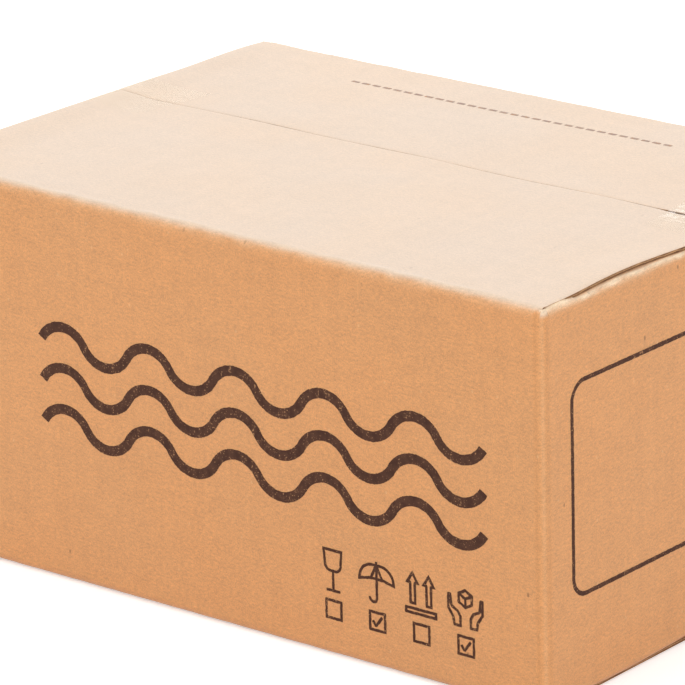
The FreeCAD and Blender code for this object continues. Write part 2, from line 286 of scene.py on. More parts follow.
def add_panel(sheet, panel, profile, s, rows=slice(None), crest=None, gap=None):
    """A patch of one panel over the columns s and some of its profile's rows."""
    d, z, rise, fall, nd, nz, away, pale, v = (
        a[rows][:, None]
        for a in (
            profile.d, profile.z, profile.rise, profile.fall, profile.nd,
            profile.nz, profile.away, profile.pale, profile.v,
        )
    )
    s = s[None, :]
    top = CROWN if crest is None else crest(s)
    z = z + rise * (top - SHOULDER)
    if crest is not None:
        z = z + fall * (INNER_LEVEL - top)
    if gap is not None:
        share = np.clip((d - FOLD) / (profile.reach - FOLD), 0, 1)
        d = d - share * (gap(s) / 2 - 0.3)
    flat, normal = panel.place(s, d, z, nd, nz)
    x, y = flat[..., 0], flat[..., 1]
    moved = flat + normal * (panel.swell(s, z) * nd)[..., None]
    if gap is not None:
        moved[..., 2] += np.where(nz > 0, top_lift(x, y) * np.clip(nz, 0, 1), 0)
    unevenness = (0.35 if panel is BACK else 1.0) * np.where(nz < 0, 0.25, 1)
    relief = fold_relief(away, s + 400 * (nz < 0), panel.seed, unevenness)
    plus = s - panel.straight - HALF_ARC
    minus = s + panel.straight + HALF_ARC
    relief = relief + (corner_relief(plus) + corner_relief(minus)) * nd
    uneven = 1 + 0.35 * waviness(s, away * 2, 9, panel.seed + 30)
    # Painted highlight along the folds where they turn up to the light, strongest on the inner flaps'
    # crests.
    painted_highlight = 0.25 * bump(away, 0.4, 1.6) if crest is None else 1.15 * bump(away, 0.6, 1.6)
    painted_light_and_shade = painted_highlight * uneven * (nz >= 0)
    # Painted highlight on the upright corners' ridges and painted shade in their scored lines.
    painted_light_and_shade = painted_light_and_shade + (corner_light_and_shade(plus) + corner_light_and_shade(minus)) * nd
    edge = profile.reach - np.broadcast_to(profile.d[rows][:, None], relief.shape)
    relief = relief - 0.12 * bump(edge, 0, 0.35) * (nd < 0.01)
    thick = BOARD - 0.4 * bump(away, 0, 4.5) + 0 * s
    thick = np.minimum(thick, BOARD - 0.4 * np.maximum(bump(plus, 0, 4.5), bump(minus, 0, 4.5)) * nd)
    if crest is not None:
        thick = np.minimum(thick, CRUSHED + (BOARD - CRUSHED) * ease((np.abs(away) - 2) / 9))
    if gap is not None:
        crushed = (BOARD - CRUSHED) * ramp(np.abs(x), 87, 98.6) * (1 - nd)
        thick = np.minimum(thick, BOARD - crushed)
        relief = relief - 0.15 * bump(FLAP_END - np.abs(x), 0, 0.5) * (1 - nd)
    inside = settle(moved - normal * thick[..., None])
    out = settle(moved + normal * relief[..., None])
    uv = np.stack(np.broadcast_arrays(panel.start + s, v), -1)
    sheet.patch(flat, out, inside, uv, np.broadcast_to(pale, relief.shape), painted_light_and_shade)


def add_corner(sheet, panel, angles, z):
    """A strip of an upright corner between two panels, over some of its turn."""
    turn = np.radians(angles)[None, :]
    z = z[:, None]
    straight = panel.straight
    flat, normal = panel.place(straight + FOLD * np.sin(turn), 0 * z, z, 1, 0)
    away = FOLD * turn - HALF_ARC
    relief = corner_relief(away) + 0 * z
    relief = relief + 0.08 * waviness(z, away, 13, panel.seed + 7) * bump(away, 0, 2.5)
    beyond = np.clip(np.abs(z - MIDDLE) - (SHOULDER - MIDDLE), 0, None)
    relief = relief - 0.13 * beyond**2
    rim = ramp(beyond * (z > MIDDLE), 0, 1.8) + 0 * turn
    out = settle(flat + normal * relief[..., None])
    thick = 0.7 + (BOARD - 1.1) * ramp(MIDDLE - BASE - np.abs(z - MIDDLE), 0, 4) + 0 * turn
    inside = settle(flat - normal * thick[..., None])
    u = panel.start + straight + FOLD * turn + 0 * z
    uv = np.stack([u, z + 0 * turn], -1)
    # Above the shoulder the corner takes the painted top light and a painted highlight.
    sheet.patch(flat, out, inside, uv, rim, corner_light_and_shade(away) * (1 - rim) + 0.8 * rim)


def add_tab(sheet, panel, z):
    """The tab glued to the inside of a wall, narrower at its free edge."""
    s = np.linspace(-panel.straight, TAB_WIDTH - panel.straight, 9)[None, :]
    share = (s + panel.straight) / TAB_WIDTH
    half = z[-1] - MIDDLE
    z = MIDDLE + (z[:, None] - MIDDLE) * (1 - share * TAB_BEVEL / half)
    flat, normal = panel.place(s, 0 * z, z, 1, 0)
    uv = np.stack(np.broadcast_arrays(panel.start + s, z), -1)
    plain = np.zeros(z.shape)
    sheet.patch(flat, settle(flat), settle(flat - normal * (BOARD - 0.4)), uv, plain, plain)


def lip(panel, angles, sign):
    return np.sort(sign * (panel.straight + FOLD * np.sin(np.radians(angles))))


def fold_board():
    """The whole carton as one sheet."""
    sheet = Sheet()
    front = Profile(FOLD, WIDTH / 2 + SEAM - 0.3, 5.0, 2.6)
    back = Profile(FOLD, WIDTH / 2 - SEAM - 0.3, 5.0, 2.6)
    end = Profile(END_FOLD, INNER_REACH, 6.0, 5.0)

    def outer_gap(sign):
        return lambda s: seam_gap(sign * s)

    def crest(panel, bows):
        side = panel.along[1]

        def level(s):
            y = side * s
            held_up = 1.15 * (1 - ramp(y + WIDTH / 2, 8, 16))
            return CROWN - CRUSHED - 0.15 + held_up + np.interp(y, BOW_AT, bows)

        return level

    near = np.array([0, 8, 16, 24, 32, 40.0])
    far = np.array([40, 47, 54, 61, 68, 75, 82, 90.0])
    rise = np.array([0.6, 1.4, 2.0, CORNER_TOP - SHOULDER])
    raised = np.concatenate([FOOT - rise[::-1], WALL_Z, SHOULDER + rise])
    for panel, profile, sign in ((FRONT, front, 1), (BACK, back, -1)):
        right_end = panel.straight if sign > 0 else panel.straight - BOARD
        columns = stations(-panel.straight, right_end, 2.1)
        add_panel(sheet, panel, profile, columns, gap=outer_gap(sign))
        ends = [lip(panel, near, -1)]
        if sign > 0:
            ends.append(lip(panel, near, 1))
        for s in ends:
            for rows in (profile.upper, profile.lower):
                add_panel(sheet, panel, profile, s, rows, gap=outer_gap(sign))

    for panel, bows, first in ((RIGHT, BOW_RIGHT, -68.45), (LEFT, BOW_LEFT, -67.95)):
        columns = stations(first, panel.straight, 2.3)
        add_panel(sheet, panel, end, columns, crest=crest(panel, bows))

    for panel in (FRONT, RIGHT, LEFT):
        long_wall = panel is FRONT
        a, b = (near, far) if long_wall else (90 - far[::-1], 90 - near[::-1])
        add_corner(sheet, panel, a, WALL_Z if long_wall else raised)
        add_corner(sheet, panel, b, raised if long_wall else WALL_Z)

    joint = Panel((-1, 0), (0, 1), WIDTH / 2, 94.2, 343.0, 0.0, 26)
    bend = np.array([0, 12, 24, 36, 48, 60, 75, 90.0])
    add_corner(sheet, joint, bend, WALL_Z)
    add_tab(sheet, TAB, WALL_Z[np.abs(WALL_Z - MIDDLE) < MIDDLE - TAB_FOOT])
    s = np.sort(joint.straight + FOLD * np.sin(np.radians(bend[:5])))
    for rows in (back.upper, back.lower):
        add_panel(sheet, joint, back, s, rows, gap=outer_gap(-1))
    inner = np.array([s[-1], 97.0, 98.0, FLAP_END])
    for side in (1, -1):
        rows = np.nonzero((back.nd < 1e-6) & (side * back.nz > 0))[0]
        add_panel(sheet, joint, back, inner, rows, gap=outer_gap(-1))
    return sheet


def rim_levels(position):
    """Depths through the board and recesses of a cut edge: two liners, and the fluting between them."""
    wave = waviness(position[:, 0] * 1.3, position[:, 1] * 1.3 + position[:, 2], 9, 41)
    middle = 1.5 + 0.4 * np.clip(wave, -1, 1)
    flute = [middle - 0.55, middle - 0.42, middle + 0.42, middle + 0.55]
    depth = [0.38 + 0 * wave, 0.46 + 0 * wave, *flute, 2.54 + 0 * wave, 2.62 + 0 * wave]
    recess = [0.02, 0.75, 0.7, 0.1, 0.1, 0.7, 0.75, 0.02]
    torn_fibre = 0.12 * waviness(position[:, 0] * 2, position[:, 1] * 2 + position[:, 2], 3, 42, 2)
    return [d / BOARD for d in depth], [r + torn_fibre * (r > 0.05) for r in recess]


def thicken(sheet, name, materials):
    """Makes the sheet's mesh: outside, inside, and cut edges round every free border."""
    out, inside, looks, quads, corner_uv = sheet.weld()
    count = len(out)
    edges = {}
    for q in quads:
        for a, b in zip(q, np.roll(q, -1)):
            edges[(int(a), int(b))] = q
    border = [(e, q) for e, q in edges.items() if (e[1], e[0]) not in edges]
    inward = np.zeros((count, 3))
    for (a, b), q in border:
        middle = out[q].mean(0)
        along = out[b] - out[a]
        length = np.linalg.norm(along)
        if length < 1e-6:
            continue
        along /= length
        pull = middle - (out[a] + out[b]) / 2
        pull -= along * (pull @ along)
        pull /= max(np.linalg.norm(pull), 1e-9)
        inward[a] += pull
        inward[b] += pull
    size = np.linalg.norm(inward, axis=1)
    inward = np.where(size[:, None] > 0.6, inward / np.maximum(size, 1e-9)[:, None], 0)

    rim = sorted({i for e, _ in border for i in e})
    place = {i: k for k, i in enumerate(rim)}
    rim = np.array(rim)
    through = inside[rim] - out[rim]
    thick = np.linalg.norm(through, axis=1, keepdims=True)
    depths, recesses = rim_levels(out[rim])
    verts = [out, inside]
    for f, g in zip(depths, recesses):
        deep = np.broadcast_to(g, (len(rim),))[:, None] * thick / BOARD
        verts.append(out[rim] + through * f[:, None] + inward[rim] * deep)
    verts = np.concatenate(verts)
    levels = len(depths)

    faces = [list(map(int, q)) for q in quads]
    faces += [[int(i) + count for i in q[::-1]] for q in quads]
    uvs = [uv for uv in corner_uv] + [uv[::-1] for uv in corner_uv]
    slots = [0] * (2 * len(quads))
    uv_of = {}
    for q, uv in zip(quads, corner_uv):
        for i, c in zip(q, uv):
            uv_of.setdefault(int(i), c)

    def level_id(i, k):
        if k == 0:
            return i
        if k == levels + 1:
            return i + count
        return 2 * count + (k - 1) * len(rim) + place[i]

    for (a, b), _ in border:
        for k in range(levels + 1):
            faces.append([level_id(b, k), level_id(a, k), level_id(a, k + 1), level_id(b, k + 1)])
            ua, ub = uv_of[a], uv_of[b]
            low, high = np.array([0, 0.4 * k]), np.array([0, 0.4 * (k + 1)])
            uvs.append(np.array([ub + low, ua + low, ua + high, ub + high]))
            slots.append(1)
    # Painted top light, painted highlight and shade on folds and corners, and painted shade in the flute
    # recesses.
    fields = {key: np.zeros(len(verts)) for key in ("pale", "painted_light_and_shade", "flute_shade")}
    fields["pale"][:count] = looks[:, 0]
    fields["painted_light_and_shade"][:count] = looks[:, 1]
    # Painted shade on the cut edge's recessed flute levels.
    for k, g in enumerate(recesses):
        if np.mean(g) > 0.5:
            first = 2 * count + k * len(rim)
            fields["flute_shade"][first : first + len(rim)] = 1
    return mesh_object(name, verts, faces, materials, uvs, slots, fields, sharp=42)


def mesh_object(name, verts, faces, materials, uvs=None, slots=None, fields=None, sharp=None):
    """A mesh object in metres, with its sheet coordinates and named fields if it has them."""
    mesh = bpy.data.meshes.new(name)
    mesh.from_pydata((np.asarray(verts) * 0.001).tolist(), [], faces)
    for m in materials:
        mesh.materials.append(m)
    if uvs is not None:
        layer = mesh.uv_layers.new(name="sheet")
        layer.data.foreach_set("uv", (np.concatenate(uvs) * 0.001).astype(np.float32).ravel())
    if slots is not None:
        mesh.polygons.foreach_set("material_index", slots)
    for key, values in (fields or {}).items():
        mesh.attributes.new(key, "FLOAT", "POINT").data.foreach_set("value", values.astype(np.float32))
    mesh.polygons.foreach_set("use_smooth", [True] * len(faces))
    mesh.update()
    if sharp is not None:
        mesh.set_sharp_from_angle(angle=math.radians(sharp))
    obj = bpy.data.objects.new(name, mesh)
    bpy.context.scene.collection.objects.link(obj)
    return obj


# Materials


class Nodes:
    """Adds and joins shader nodes."""

    def __init__(self, name):
        self.material = bpy.data.materials.new(name)
        self.material.use_nodes = True
        self.tree = self.material.node_tree
        self.tree.nodes.clear()

    def add(self, kind, inputs=None, **settings):
        node = self.tree.nodes.new(kind)
        for key, value in settings.items():
            setattr(node, key, value)
        for key, value in (inputs or {}).items():
            self.plug(node.inputs[key], value)
        return node

    def plug(self, socket, value):
        if isinstance(value, bpy.types.NodeSocket):
            self.tree.links.new(value, socket)
        else:
            socket.default_value = value

    def math(self, operation, a, b=0.0, c=0.0, clamp=False):
        node = self.add("ShaderNodeMath", {0: a, 1: b, 2: c}, operation=operation, use_clamp=clamp)
        return node.outputs[0]

    def noise(self, vector, scale, detail=2.0, rough=0.5):
        inputs = {"Vector": vector, "Scale": scale, "Detail": detail, "Roughness": rough}
        return self.add("ShaderNodeTexNoise", inputs).outputs["Fac"]

    def stretch(self, vector, x, y, z):
        return self.add("ShaderNodeMapping", {"Vector": vector, "Scale": (x, y, z)}).outputs[0]

    def range(self, value, low, high, to_low=0.0, to_high=1.0, smooth=True):
        kind = "SMOOTHSTEP" if smooth else "LINEAR"
        inputs = {
            "Value": value,
            "From Min": low,
            "From Max": high,
            "To Min": to_low,
            "To Max": to_high,
        }
        return self.add("ShaderNodeMapRange", inputs, interpolation_type=kind).outputs[0]

    def mix(self, factor, a, b, blend="MIX"):
        node = self.add("ShaderNodeMix", data_type="RGBA", blend_type=blend)
        for key, value in ((0, factor), (6, a), (7, b)):
            self.plug(node.inputs[key], value)
        return node.outputs[2]

    def grey(self, value):
        return self.add("ShaderNodeCombineXYZ", {0: value, 1: value, 2: value}).outputs[0]

    def output(self, shader):
        self.add("ShaderNodeOutputMaterial", {"Surface": shader})
        return self.material


def rgb(r, g, b):
    """A colour as seen, 0 to 255, in linear light."""
    shares = (c / 255 for c in (r, g, b))
    linear = [c / 12.92 if c <= 0.04045 else ((c + 0.055) / 1.055) ** 2.4 for c in shares]
    return (*linear, 1.0)


WALL_TONE = rgb(220, 155, 97)
# Painted top light: the lighter colour given to the top flaps for the light falling on the top.
PAINTED_TOP_LIGHT_TONE = rgb(221, 194, 168)


def paper(n, coordinates, pale, painted_light_and_shade):
    """Kraft liner: colour and height of its fibres, flecks and the fluting that shows through."""
    along = n.stretch(coordinates, 0.55, 1.0, 1.0)
    cloud = n.noise(coordinates, 38.0, 3.0, 0.55)
    mottle = n.noise(along, 260.0, 4.0, 0.62)
    fibre = n.noise(along, 1500.0, 3.0, 0.6)
    grain = n.noise(n.stretch(coordinates, 1.0, 0.75, 1.0), 3100.0, 2.0, 0.6)
    streak = n.noise(n.stretch(coordinates, 1.0, 0.03, 1.0), 420.0, 2.0, 0.5)
    u = n.add("ShaderNodeSeparateXYZ", {0: coordinates}).outputs[0]
    flute = n.math("SINE", n.math("MULTIPLY", u, 2 * math.pi / FLUTE_PITCH))

    value = n.range(cloud, 0.25, 0.75, -0.022, 0.022, False)
    value = n.math("ADD", value, n.range(mottle, 0.25, 0.75, -0.055, 0.055, False))
    value = n.math("ADD", value, n.range(fibre, 0.2, 0.8, -0.18, 0.18, False))
    value = n.math("ADD", value, n.range(grain, 0.2, 0.8, -0.22, 0.22, False))
    value = n.math("ADD", value, n.range(streak, 0.3, 0.7, -0.012, 0.012, False))
    value = n.math("ADD", value, n.math("MULTIPLY", flute, 0.006))
    # The grain and flecks show less where the top light is painted in.
    calm = n.math("MULTIPLY_ADD", pale, -0.4, 1.0)
    value = n.math("MULTIPLY", value, calm)

    # Painted top light on the top flaps.
    tone = n.mix(pale, WALL_TONE, PAINTED_TOP_LIGHT_TONE)
    warm = n.range(n.noise(coordinates, 24.0, 2.0), 0.3, 0.7, 0.0, 0.35)
    tone = n.mix(warm, tone, (0.92, 1.0, 1.12, 1.0), "MULTIPLY")
    # Painted highlight on folds, corner ridges and corner tops.
    painted_highlight = n.math("MULTIPLY", n.math("MAXIMUM", painted_light_and_shade, 0.0), 0.85, clamp=True)
    tone = n.mix(painted_highlight, tone, rgb(253, 226, 192))
    # Painted shade in the corners' scored lines.
    scored = n.math("MULTIPLY", n.math("MINIMUM", painted_light_and_shade, 0.0), -0.6, clamp=True)
    tone = n.mix(scored, tone, rgb(176, 116, 66))
    bright = n.grey(n.math("ADD", value, 1.0))
    tone = n.mix(1.0, tone, bright, "MULTIPLY")

    def flecks(scale, size, share, turn):
        warped = n.stretch(coordinates, 1.0, turn, 1.0)
        cell = n.add("ShaderNodeTexVoronoi", {"Vector": warped, "Scale": scale, "Randomness": 1.0})
        pick = n.add("ShaderNodeSeparateColor", {0: cell.outputs["Color"]})
        near = n.range(cell.outputs["Distance"], size, size * 0.45)
        chosen = n.math("LESS_THAN", pick.outputs[0], share)
        strength = n.range(pick.outputs[1], 0.0, 1.0, 0.35, 1.0)
        return n.math("MULTIPLY", n.math("MULTIPLY", near, chosen), strength)

    fewer = n.math("MULTIPLY_ADD", pale, -0.75, 1.0)
    dark = n.math("MULTIPLY", flecks(150.0, 0.075, 0.5, 0.6), fewer)
    tone = n.mix(n.math("MULTIPLY", dark, 0.7), tone, rgb(112, 72, 40))
    fewer = n.math("MULTIPLY_ADD", pale, -0.7, 1.0)
    small = n.math("MULTIPLY", flecks(680.0, 0.22, 0.34, 1.5), fewer)
    tone = n.mix(n.math("MULTIPLY", small, 0.36), tone, rgb(150, 100, 60))
    light = flecks(520.0, 0.17, 0.2, 0.6)
    tone = n.mix(n.math("MULTIPLY", light, 0.3), tone, rgb(240, 204, 160))

    height = n.math("MULTIPLY", fibre, 0.4)
    height = n.math("ADD", height, n.math("MULTIPLY", grain, 0.25))
    height = n.math("ADD", height, n.math("MULTIPLY", mottle, 0.5))
    height = n.math("ADD", height, n.math("MULTIPLY", flute, 0.45))
    return tone, height, fibre


def kraft():
    n = Nodes("kraft_liner")
    sheet = n.add("ShaderNodeUVMap", uv_map="sheet").outputs[0]
    # Painted top light, its edge made noisy where it fades round the fold.
    raw = n.add("ShaderNodeAttribute", attribute_name="pale").outputs["Fac"]
    blur = n.range(n.noise(sheet, 150.0, 3.0, 0.6), 0.2, 0.8, -0.15, 0.15, False)
    edge = n.math("MULTIPLY", n.math("MULTIPLY", raw, n.math("SUBTRACT", 1.0, raw)), 4.0)
    pale = n.math("ADD", raw, n.math("MULTIPLY", blur, edge), clamp=True)
    # Painted highlight on folds and corners, and painted shade in the corners' scored lines.
    painted_light_and_shade = n.add("ShaderNodeAttribute", attribute_name="painted_light_and_shade").outputs["Fac"]
    patchy = n.range(n.noise(sheet, 300.0, 3.0, 0.6), 0.25, 0.75, 0.75, 1.15, False)
    tone, height, fibre = paper(n, sheet, pale, n.math("MULTIPLY", painted_light_and_shade, patchy))
    rough = n.range(fibre, 0.2, 0.8, 0.56, 0.74, False)
    normal = n.add("ShaderNodeBump", {"Strength": 0.35, "Distance": 0.00006, "Height": height}).outputs[0]
    shader = n.add(
        "ShaderNodeBsdfPrincipled",
        {"Base Color": tone, "Roughness": rough, "Normal": normal, "IOR": 1.5},
    )
    shader.inputs["Sheen Weight"].default_value = 0.25
    shader.inputs["Sheen Roughness"].default_value = 0.45
    return n.output(shader.outputs[0])


def cut_edge():
    n = Nodes("kraft_cut_edge")
    place = n.add("ShaderNodeTexCoord").outputs["Object"]
    fibre = n.noise(place, 2600.0, 4.0, 0.65)
    cloud = n.noise(place, 320.0, 3.0, 0.6)
    tone = n.mix(n.range(cloud, 0.3, 0.7), rgb(190, 140, 92), rgb(150, 104, 66))
    tone = n.mix(n.range(fibre, 0.3, 0.7, 0.0, 0.5), tone, rgb(214, 172, 128))
    flute_shade = n.add("ShaderNodeAttribute", attribute_name="flute_shade").outputs["Fac"]
    # Painted shade in the flute recesses of the cut edge.
    tone = n.mix(n.math("MULTIPLY", flute_shade, 0.8), tone, rgb(92, 54, 36))
    normal = n.add("ShaderNodeBump", {"Strength": 0.8, "Distance": 0.0002, "Height": fibre}).outputs[0]
    shader = n.add("ShaderNodeBsdfPrincipled", {"Base Color": tone, "Roughness": 0.85, "Normal": normal})
    return n.output(shader.outputs[0])


def ink(name, dark, thin, cover, across):
    """Matt ink with pinholes, and streaks where the fluting let it print thin."""
    n = Nodes(name)
    place = n.add("ShaderNodeTexCoord").outputs["Object"]
    streak_scale = (1.0, 1.0, 0.06) if across == "upright" else (1.0, 0.06, 1.0)
    streak = n.noise(n.stretch(place, *streak_scale), 900.0, 3.0, 0.6)
    cloud = n.noise(place, 420.0, 3.0, 0.6)
    pins = n.noise(place, 2100.0, 2.0, 0.6)
    patchy = n.math("MULTIPLY_ADD", n.math("SUBTRACT", streak, 0.5), 0.35, pins)
    patchy = n.math("MULTIPLY_ADD", n.math("SUBTRACT", cloud, 0.5), 0.25, patchy)
    bare = n.range(patchy, cover, cover + 0.07)
    tone = n.mix(n.range(cloud, 0.3, 0.7, 0.0, 0.6), dark, thin)
    tone = n.mix(n.range(streak, 0.45, 0.75, 0.0, 0.35), tone, thin)
    tone = n.mix(n.math("MULTIPLY", bare, 0.75), tone, rgb(190, 142, 100))
    rough = n.range(cloud, 0.2, 0.8, 0.62, 0.8, False)
    normal = n.add("ShaderNodeBump", {"Strength": 0.3, "Distance": 0.00004, "Height": pins}).outputs[0]
    shader = n.add("ShaderNodeBsdfPrincipled", {"Base Color": tone, "Roughness": rough, "Normal": normal})
    shader.inputs["Specular IOR Level"].default_value = 0.2
    return n.output(shader.outputs[0])


def clear_tape():
    """Thin clear film: it shows the board, a little deeper in tone, under a glossy skin."""
    n = Nodes("clear_tape")
    place = n.add("ShaderNodeTexCoord").outputs["Object"]
    drawn = n.noise(n.stretch(place, 0.08, 1.0, 1.0), 900.0, 3.0, 0.5)
    crinkle = n.noise(place, 130.0, 3.0, 0.6)
    height = n.math("ADD", n.math("MULTIPLY", drawn, 0.25), crinkle)
    normal = n.add("ShaderNodeBump", {"Strength": 0.35, "Distance": 0.0004, "Height": height}).outputs[0]
    film = n.add("ShaderNodeBsdfTransparent", {"Color": (0.985, 0.981, 0.972, 1.0)})
    skin = n.add(
        "ShaderNodeBsdfPrincipled",
        {
            "Base Color": n.mix(crinkle, (0.9, 0.92, 0.92, 1.0), (0.96, 0.97, 0.97, 1.0)),
            "Metallic": 1.0,
            "Roughness": n.range(crinkle, 0.3, 0.7, 0.12, 0.26, False),
            "Normal": normal,
        },
    )
    facing = n.add("ShaderNodeLayerWeight", {"Blend": 0.5, "Normal": normal}).outputs["Facing"]
    gloss = n.math("POWER", facing, 3.0)
    position = n.add("ShaderNodeSeparateXYZ", {0: place})
    off_seam = n.math("ABSOLUTE", n.math("SUBTRACT", position.outputs[1], SEAM / 1000))
    near_seam = n.range(off_seam, 0.003, 0.009, 1.0, 0.0)
    loose = n.math("MULTIPLY", near_seam, n.range(position.outputs[0], 0.074, 0.079))
    loose = n.math("MULTIPLY", loose, n.range(n.noise(place, 500.0, 2.0), 0.44, 0.62))
    share = n.math("MULTIPLY_ADD", gloss, n.math("MULTIPLY_ADD", loose, 0.13, 0.035), 0.005, clamp=True)
    mixed = n.add("ShaderNodeMixShader", {0: share, 1: film.outputs[0], 2: skin.outputs[0]})
    return n.output(mixed.outputs[0])


def floor_white():
    """Pale floor that shows white to the eye and keeps the shadow."""
    n = Nodes("floor")
    place = n.add("ShaderNodeTexCoord").outputs["Object"]
    grain = n.range(n.noise(place, 600.0, 3.0), 0.2, 0.8, 0.86, 0.9, False)
    matt = n.add("ShaderNodeBsdfDiffuse", {"Color": n.grey(grain)})
    path = n.add("ShaderNodeLightPath")
    seen = n.math("MAXIMUM", path.outputs["Is Camera Ray"], path.outputs["Is Glossy Ray"])
    seen = n.math("MAXIMUM", seen, path.outputs["Is Transmission Ray"])
    glow = n.add("ShaderNodeEmission", {"Color": (1, 1, 1, 1), "Strength": n.math("MULTIPLY", seen, 0.42)})
    both = n.add("ShaderNodeAddShader", {0: matt.outputs[0], 1: glow.outputs[0]})
    return n.output(both.outputs[0])


# Ink


def outlines(node, axis, outward):
    """Closed outlines of a printed shape, seen square on from its outer side."""
    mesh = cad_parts[node].data
    co = np.array([v.co for v in mesh.vertices], float) * 1000
    known = {}
    ids = [known.setdefault(tuple(np.round(p, 3)), len(known)) for p in co]
    points = np.array(list(known))
    edges = set()
    for polygon in mesh.polygons:
        if polygon.normal[axis] * outward > 0.7:
            around = [ids[i] for i in polygon.vertices]
            for a, b in zip(around, around[1:] + around[:1]):
                if (b, a) in edges:
                    edges.remove((b, a))
                else:
                    edges.add((a, b))
    ahead = {}
    for a, b in sorted(edges):
        ahead.setdefault(a, []).append(b)
    keep = [k for k in range(3) if k != axis]
    loops = []
    while ahead:
        start = min(ahead)
        loop, here = [], start
        while here in ahead:
            loop.append(here)
            following = ahead[here].pop()
            if not ahead[here]:
                del ahead[here]
            here = following
        if len(loop) > 2:
            loops.append(points[loop][:, keep])
    return loops


def ragged(loop, seed, spread, step=0.5, amount=0.07):
    """The outline with closer points, spread and uneven the way ink takes on rough board."""
    points = []
    for a, b in zip(loop, np.roll(loop, -1, axis=0)):
        count = max(1, math.ceil(np.linalg.norm(b - a) / step))
        points += [a + (b - a) * k / count for k in range(count)]
    points = np.array(points)
    along = np.roll(points, -1, axis=0) - np.roll(points, 1, axis=0)
    aside = np.stack([-along[:, 1], along[:, 0]], 1)
    aside /= np.maximum(np.linalg.norm(aside, axis=1, keepdims=True), 1e-9)
    x, y = points[:, 0], points[:, 1]
    uneven = 0.6 * waviness(x, y, 2.4, seed, 2) + 0.5 * waviness(x, y, 0.9, seed + 1, 2)
    return points + aside * (amount * uneven - spread)[:, None]


def inside_loops(points, loops):
    """Which points lie inside an odd number of the loops."""
    inside = np.zeros(len(points), bool)
    for loop in loops:
        for (ax, ay), (bx, by) in zip(loop, np.roll(loop, -1, axis=0)):
            if ay == by:
                continue
            crosses = (ay > points[:, 1]) != (by > points[:, 1])
            at = ax + (points[:, 1] - ay) * (bx - ax) / (by - ay)
            inside ^= crosses & (points[:, 0] < at)
    return inside


def print_shape(name, node, axis, outward, surface, material, seed, spread):
    """Ink of a node's outline, laid on the finished surface that surface(a, b, lift) gives."""
    loops = [ragged(loop, seed + k, spread) for k, loop in enumerate(outlines(node, axis, outward))]
    points = np.concatenate(loops)
    edges, start = [], 0
    for loop in loops:
        count = len(loop)
        edges += [(start + k, start + (k + 1) % count) for k in range(count)]
        start += count
    flat, _, triangles, *_ = delaunay_2d_cdt([Vector(p) for p in points], edges, [], 0, 1e-6)
    flat = np.array([tuple(p) for p in flat])
    triangles = np.array([t for t in triangles])
    triangles = triangles[inside_loops(flat[triangles].mean(1), loops)]
    top = surface(flat[:, 0], flat[:, 1], INK_LIFT)
    under = surface(flat[:, 0], flat[:, 1], -INK_DEPTH)
    count = len(flat)
    faces = [[int(i) for i in t] for t in triangles]
    a, b, c = (top[triangles[:, k]] for k in range(3))
    facing = np.cross(b - a, c - a).sum(0)[axis]
    if facing * outward < 0:
        faces = [f[::-1] for f in faces]
    directed = {(f[k], f[(k + 1) % 3]) for f in faces for k in range(3)}
    rims = [(p, q) for p, q in sorted(directed) if (q, p) not in directed]
    faces += [[q, p, p + count, q + count] for p, q in rims]
    return mesh_object(name, np.concatenate([top, under]), faces, [material], sharp=50)


# Tape


def torn(across, slant):
    """How far a torn end is in from its line: a dispenser's teeth, on a slant."""
    share = across / TAPE_WIDTH + 0.5
    tooth = np.abs((share * 10) % 1 - 0.5) * 2
    return slant * (0.5 - share) - 0.6 * tooth + 0.6


def tape_mesh(name, path, wrinkled, material):
    """A strip along path(across), in a film of real thickness."""
    across = np.linspace(-TAPE_WIDTH / 2, TAPE_WIDTH / 2, 61)
    rows = path(across)
    count, cols = rows.shape[:2]
    du = np.gradient(rows, axis=1)
    dv = np.gradient(rows, axis=0)
    normal = np.cross(dv, du)
    normal /= np.maximum(np.linalg.norm(normal, axis=-1, keepdims=True), 1e-9)
    a, b = np.meshgrid(np.arange(cols), np.arange(count))
    wrinkle = wrinkled * (1 + waviness(a * 0.42, b * 0.6, 9, 61)) * ramp(a, 0, 4) * ramp(cols - 1 - a, 0, 4)
    outer = settle(rows + normal * (TAPE_LIFT + wrinkle)[..., None])
    inner = settle(rows + normal * (TAPE_LIFT - FILM + wrinkle)[..., None])
    ids = np.arange(count * cols).reshape(count, cols)
    quads = np.stack([ids[:-1, :-1], ids[1:, :-1], ids[1:, 1:], ids[:-1, 1:]], -1).reshape(-1, 4)
    faces = quads.tolist() + (quads[:, ::-1] + count * cols).tolist()
    ring = list(ids[0]) + list(ids[1:, -1]) + list(ids[-1, :-1][::-1]) + list(ids[1:-1, 0][::-1])
    for p, q in zip(ring, ring[1:] + ring[:1]):
        faces.append([int(p), int(q), int(q) + count * cols, int(p) + count * cols])
    verts = np.concatenate([outer.reshape(-1, 3), inner.reshape(-1, 3)])
    return mesh_object(name, verts, faces, [material], sharp=50)


def end_run(side, across, top):
    """Points of a strip from the outer flap's end, over the inner flap's fold, onto the end wall."""
    y = SEAM + across
    corner_z = CROWN + top_lift(side * FLAP_END, y) if top else BASE + 0 * y
    touch_z = SHOULDER - 0.6 if top else FOOT + 0.6
    rows = []
    for t in (0.0, 0.3, 0.6, 0.85, 1.0):
        x = FLAP_END + 0.12 + (LENGTH / 2 - FLAP_END - 0.12) * t + 0.05 * math.sin(math.pi * t)
        rows.append(np.stack([side * (x + 0 * y), y, corner_z + (touch_z - corner_z) * t], -1))
    return rows


